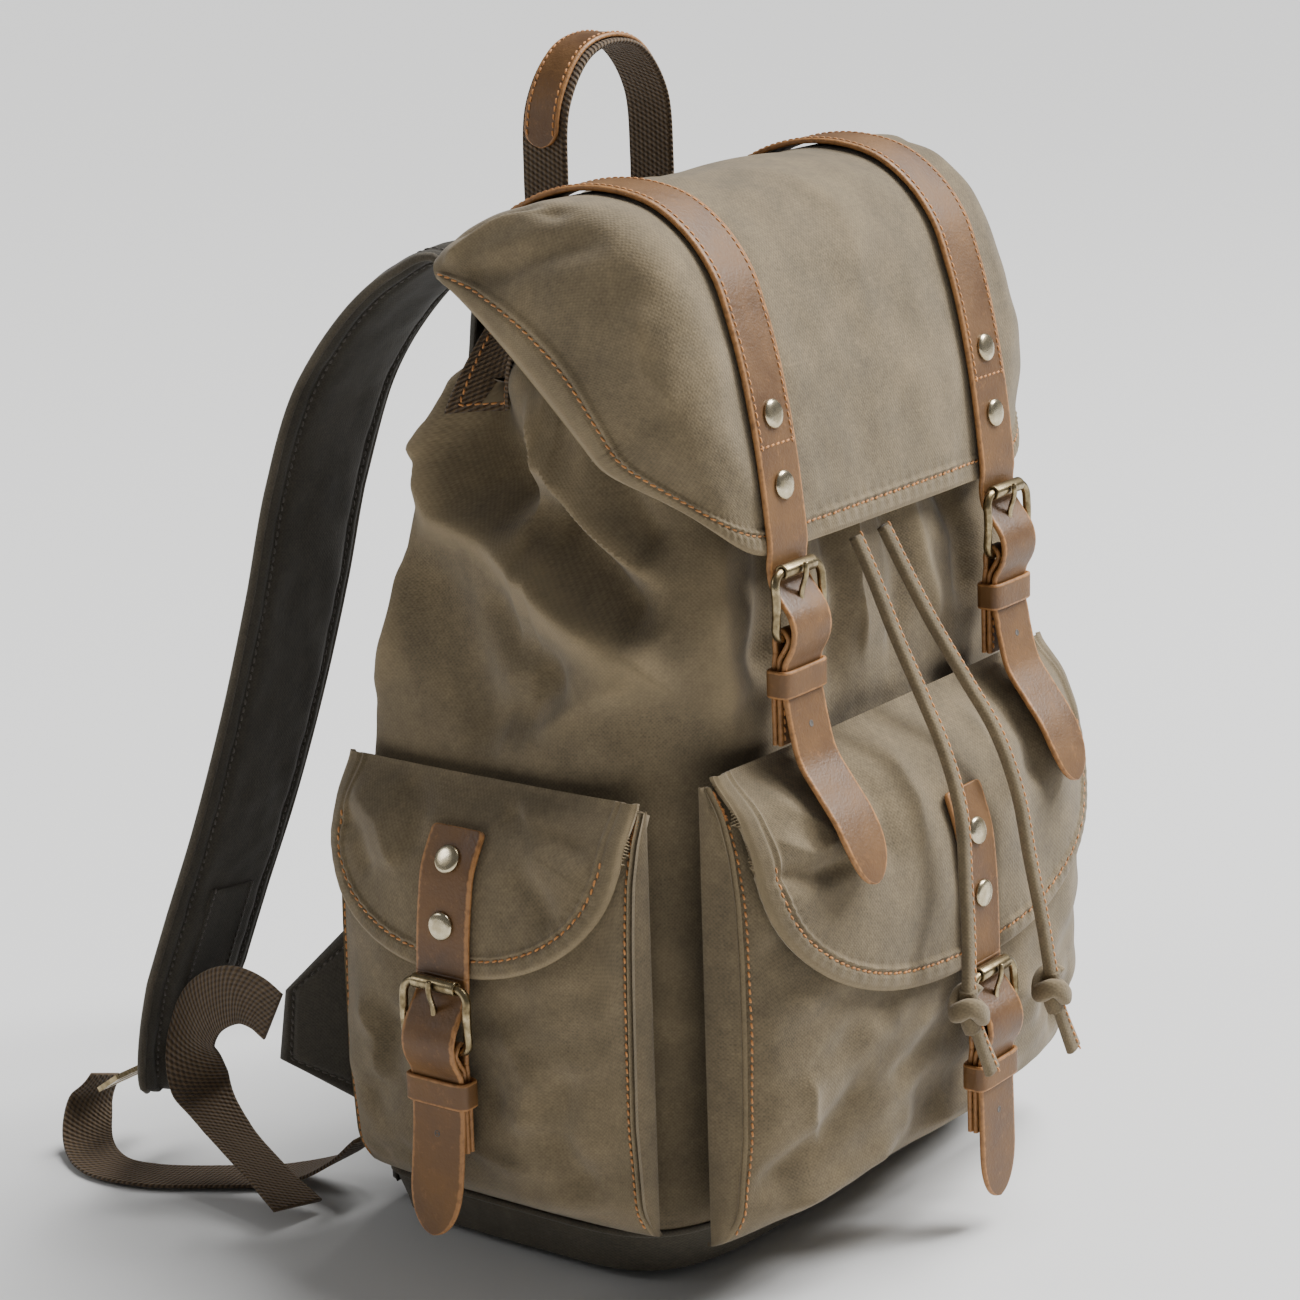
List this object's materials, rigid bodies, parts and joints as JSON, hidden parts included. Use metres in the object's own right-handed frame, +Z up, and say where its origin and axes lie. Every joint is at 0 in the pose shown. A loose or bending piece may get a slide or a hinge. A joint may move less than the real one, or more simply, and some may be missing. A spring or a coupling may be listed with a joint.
{
  "type": "travel backpack",
  "caption": "Canvas rucksack with a drawn neck under a buckled top flap, a front and two side pockets with buckled lids, padded shoulder straps and a waist belt.",
  "frame": {"origin": "middle of the underside of the base panel, on the surface that the bag stands on", "axes": "+Z up, -Y towards the front pocket, +Y towards the wearer, +X to the left of the wearer"},
  "size_m": [0.4146, 0.4426, 0.5183],
  "materials": {
    "canvas": "washed cotton canvas, matt, fine plain weave",
    "padding": "darker canvas over foam, matt",
    "leather": "waxed full-grain leather, pale burnished edges",
    "webbing": "coarse cotton webbing",
    "brass": "antique brass, satin"
  },
  "bodies": {
    "bag": {"base_panel": "canvas", "body_shell": "canvas", "back_pad": "padding", "front_pocket": "canvas", "side_left_pocket": "canvas", "side_right_pocket": "canvas", "belt_left_wing": "padding", "belt_left_webbing": "webbing", "belt_right_wing": "padding", "belt_right_webbing": "webbing", "shoulder_left_webbing": "webbing", "shoulder_right_webbing": "webbing"},
    "flap": {"top_flap": "canvas", "flap_left_strap": "leather", "flap_left_chape": "leather", "flap_left_buckle_frame": "brass", "flap_left_rivet_upper": "brass", "flap_left_rivet_lower": "brass", "flap_right_strap": "leather", "flap_right_chape": "leather", "flap_right_buckle_frame": "brass", "flap_right_rivet_upper": "brass", "flap_right_rivet_lower": "brass"},
    "front_lid": {"front_lid": "canvas", "front_strap": "leather", "front_chape": "leather", "front_buckle_frame": "brass", "front_rivet_upper": "brass", "front_rivet_lower": "brass"},
    "side_left_lid": {"side_left_lid": "canvas", "side_left_strap": "leather", "side_left_chape": "leather", "side_left_buckle_frame": "brass", "side_left_rivet_upper": "brass"},
    "side_right_lid": {"side_right_lid": "canvas", "side_right_strap": "leather", "side_right_chape": "leather", "side_right_buckle_frame": "brass", "side_right_rivet_upper": "brass"},
    "handle": {"handle_webbing": "webbing", "handle_grip": "leather"},
    "shoulder_left": {"shoulder_left_pad": "padding", "shoulder_left_slider": "brass"},
    "shoulder_right": {"shoulder_right_pad": "padding", "shoulder_right_slider": "brass"},
    "cord_left": {"drawcord_left": "canvas"},
    "cord_right": {"drawcord_right": "canvas"},
    "tail_left": {"flap_left_strap_tail": "leather"},
    "tail_right": {"flap_right_strap_tail": "leather"},
    "flap_left_roller": {"flap_left_buckle_roller": "brass"},
    "flap_left_tongue": {"flap_left_buckle_tongue": "brass"},
    "flap_right_roller": {"flap_right_buckle_roller": "brass"},
    "flap_right_tongue": {"flap_right_buckle_tongue": "brass"},
    "front_roller": {"front_buckle_roller": "brass"},
    "front_tongue": {"front_buckle_tongue": "brass"},
    "side_left_roller": {"side_left_buckle_roller": "brass"},
    "side_left_tongue": {"side_left_buckle_tongue": "brass"},
    "side_right_roller": {"side_right_buckle_roller": "brass"},
    "side_right_tongue": {"side_right_buckle_tongue": "brass"}
  },
  "joints": [
    {"name": "flap_hinge", "type": "hinge", "parent": "bag", "child": "flap", "pos_m": [0, 0.033, 0.443], "axis": [-1, 0, 0], "range_deg": [0, 95]},
    {"name": "handle_fold", "type": "hinge", "parent": "bag", "child": "handle", "pos_m": [0, 0.049, 0.434], "axis": [-1, 0, 0], "range_deg": [0, 60]},
    {"name": "front_lid_hinge", "type": "hinge", "parent": "bag", "child": "front_lid", "pos_m": [0, -0.098, 0.237], "axis": [-1, 0, 0], "range_deg": [0, 52]},
    {"name": "side_left_lid_hinge", "type": "hinge", "parent": "bag", "child": "side_left_lid", "pos_m": [-0.154, 0, 0.228], "axis": [0, 1, 0], "range_deg": [0, 70]},
    {"name": "side_right_lid_hinge", "type": "hinge", "parent": "bag", "child": "side_right_lid", "pos_m": [0.154, 0, 0.228], "axis": [0, -1, 0], "range_deg": [0, 70]},
    {"name": "shoulder_left_swing", "type": "hinge", "parent": "bag", "child": "shoulder_left", "pos_m": [-0.052, 0.068, 0.421], "axis": [1, 0, 0], "range_deg": [0, 12]},
    {"name": "shoulder_right_swing", "type": "hinge", "parent": "bag", "child": "shoulder_right", "pos_m": [0.052, 0.068, 0.421], "axis": [1, 0, 0], "range_deg": [0, 12]},
    {"name": "tail_left_lift", "type": "hinge", "parent": "flap", "child": "tail_left", "pos_m": [-0.084, -0.112, 0.261], "axis": [-1, 0, 0], "range_deg": [0, 80]},
    {"name": "cord_left_swing", "type": "hinge", "parent": "bag", "child": "cord_left", "pos_m": [-0.026, -0.1006, 0.316], "axis": [-1, 0, 0], "range_deg": [0, 70]},
    {"name": "tail_right_lift", "type": "hinge", "parent": "flap", "child": "tail_right", "pos_m": [0.084, -0.112, 0.261], "axis": [-1, 0, 0], "range_deg": [0, 80]},
    {"name": "cord_right_swing", "type": "hinge", "parent": "bag", "child": "cord_right", "pos_m": [-0.004, -0.1006, 0.316], "axis": [-1, 0, 0], "range_deg": [0, 70]},
    {"name": "flap_left_roller_spin", "type": "hinge", "parent": "flap", "child": "flap_left_roller", "pos_m": [-0.084, -0.1094, 0.316], "axis": [1, 0, 0], "continuous": true},
    {"name": "flap_left_tongue_lift", "type": "hinge", "parent": "flap", "child": "flap_left_tongue", "pos_m": [-0.084, -0.1094, 0.288], "axis": [1, 0, 0], "range_deg": [0, 12]},
    {"name": "flap_right_roller_spin", "type": "hinge", "parent": "flap", "child": "flap_right_roller", "pos_m": [0.084, -0.1094, 0.316], "axis": [1, 0, 0], "continuous": true},
    {"name": "flap_right_tongue_lift", "type": "hinge", "parent": "flap", "child": "flap_right_tongue", "pos_m": [0.084, -0.1094, 0.288], "axis": [1, 0, 0], "range_deg": [0, 12]},
    {"name": "front_roller_spin", "type": "hinge", "parent": "front_lid", "child": "front_roller", "pos_m": [0, -0.15176, 0.122], "axis": [1, 0, 0], "continuous": true},
    {"name": "front_tongue_lift", "type": "hinge", "parent": "front_lid", "child": "front_tongue", "pos_m": [0, -0.15176, 0.094], "axis": [1, 0, 0], "range_deg": [0, 12]},
    {"name": "side_left_roller_spin", "type": "hinge", "parent": "side_left_lid", "child": "side_left_roller", "pos_m": [-0.19715, 0, 0.148], "axis": [0, -1, 0], "continuous": true},
    {"name": "side_left_tongue_lift", "type": "hinge", "parent": "side_left_lid", "child": "side_left_tongue", "pos_m": [-0.19715, 0, 0.12], "axis": [0, -1, 0], "range_deg": [0, 12]},
    {"name": "side_right_roller_spin", "type": "hinge", "parent": "side_right_lid", "child": "side_right_roller", "pos_m": [0.19715, 0, 0.148], "axis": [0, 1, 0], "continuous": true},
    {"name": "side_right_tongue_lift", "type": "hinge", "parent": "side_right_lid", "child": "side_right_tongue", "pos_m": [0.19715, 0, 0.12], "axis": [0, 1, 0], "range_deg": [0, 12]}
  ],
  "couplings": [
    {"joint": "handle_fold", "follows": "flap_hinge", "ratio": 0.6},
    {"joint": "tail_left_lift", "follows": "front_lid_hinge", "ratio": 1.3},
    {"joint": "cord_left_swing", "follows": "front_lid_hinge", "ratio": 1.1},
    {"joint": "tail_right_lift", "follows": "front_lid_hinge", "ratio": 1.3},
    {"joint": "cord_right_swing", "follows": "front_lid_hinge", "ratio": 1.1}
  ]
}
